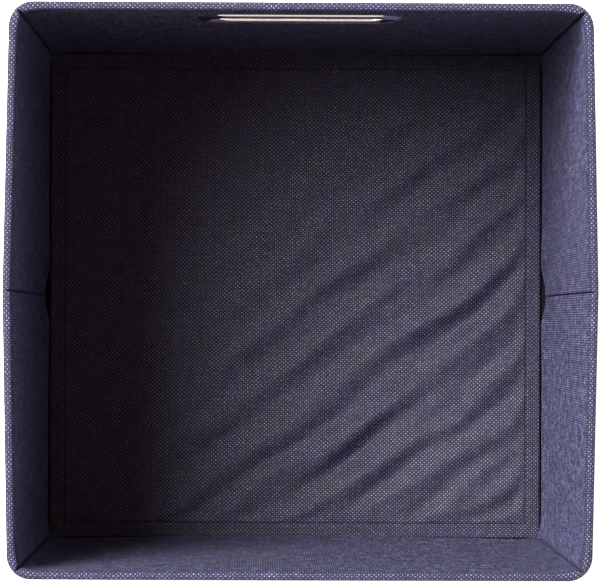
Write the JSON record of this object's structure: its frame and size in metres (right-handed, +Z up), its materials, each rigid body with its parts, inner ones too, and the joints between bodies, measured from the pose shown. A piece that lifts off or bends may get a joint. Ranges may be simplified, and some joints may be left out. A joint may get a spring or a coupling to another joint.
{
  "type": "fabric storage bin",
  "caption": "Collapsible cube-shaped fabric bin: board-stiffened cloth walls, side walls that crease and fold inwards, a metal-ringed grab slot and a lift-out covered base.",
  "frame": {"origin": "middle of the underside", "axes": "+Z up; -Y out through the front wall, which has the grab slot; +X to the right seen from the front"},
  "size_m": [0.3368, 0.328, 0.325],
  "materials": {
    "outer_cloth": "matte",
    "lining_cloth": "matte",
    "bottom_cloth": "matte",
    "insert_cloth": "matte",
    "sewing_thread": "matte",
    "wall_board": "matte",
    "base_board": "matte",
    "chrome_ring": "polished"
  },
  "bodies": {
    "back_and_bottom": {"back_board": "wall_board", "back_outer_fabric": "outer_cloth", "back_lining": "lining_cloth", "bottom_panel": "bottom_cloth", "bottom_seam": "outer_cloth", "rear_left_corner_seam": "outer_cloth", "rear_right_corner_seam": "outer_cloth"},
    "left_rear": {"left_rear_board": "wall_board", "left_rear_outer_fabric": "outer_cloth", "left_rear_lining": "lining_cloth"},
    "left_front": {"left_front_board": "wall_board", "left_front_outer_fabric": "outer_cloth", "left_front_lining": "lining_cloth"},
    "right_rear": {"right_rear_board": "wall_board", "right_rear_outer_fabric": "outer_cloth", "right_rear_lining": "lining_cloth"},
    "right_front": {"right_front_board": "wall_board", "right_front_outer_fabric": "outer_cloth", "right_front_lining": "lining_cloth"},
    "front": {"front_board": "wall_board", "front_outer_fabric": "outer_cloth", "front_lining": "lining_cloth", "front_left_corner_seam": "outer_cloth", "front_right_corner_seam": "outer_cloth", "handle_outer_ring": "chrome_ring", "handle_inner_ring": "chrome_ring"},
    "insert": {"base_board": "base_board", "insert_top_cover": "insert_cloth", "insert_bottom_cover": "insert_cloth"}
  },
  "joints": [
    {"name": "collapse", "type": "hinge", "parent": "back_and_bottom", "child": "left_rear", "pos_m": [-0.1602, 0.1577, 0.165], "axis": [0, 0, 1], "range_deg": [0, 89]},
    {"name": "left_crease", "type": "hinge", "parent": "left_rear", "child": "left_front", "pos_m": [-0.1684, 0, 0.165], "axis": [0, 0, 1], "range_deg": [-178, 0]},
    {"name": "left_front_corner", "type": "hinge", "parent": "left_front", "child": "front", "pos_m": [-0.1602, -0.1577, 0.165], "axis": [0, 0, 1], "range_deg": [0, 89]},
    {"name": "right_rear_corner", "type": "hinge", "parent": "back_and_bottom", "child": "right_rear", "pos_m": [0.1602, 0.1577, 0.165], "axis": [0, 0, 1], "range_deg": [-89, 0]},
    {"name": "right_crease", "type": "hinge", "parent": "right_rear", "child": "right_front", "pos_m": [0.1684, 0, 0.165], "axis": [0, 0, 1], "range_deg": [0, 178]},
    {"name": "insert_lift", "type": "slide", "parent": "back_and_bottom", "child": "insert", "axis": [0, 0, 1], "range_m": [0, 0.36]}
  ],
  "couplings": [
    {"joint": "left_crease", "follows": "collapse", "ratio": -2},
    {"joint": "left_front_corner", "follows": "collapse", "ratio": 1},
    {"joint": "right_rear_corner", "follows": "collapse", "ratio": -1},
    {"joint": "right_crease", "follows": "collapse", "ratio": 2}
  ]
}
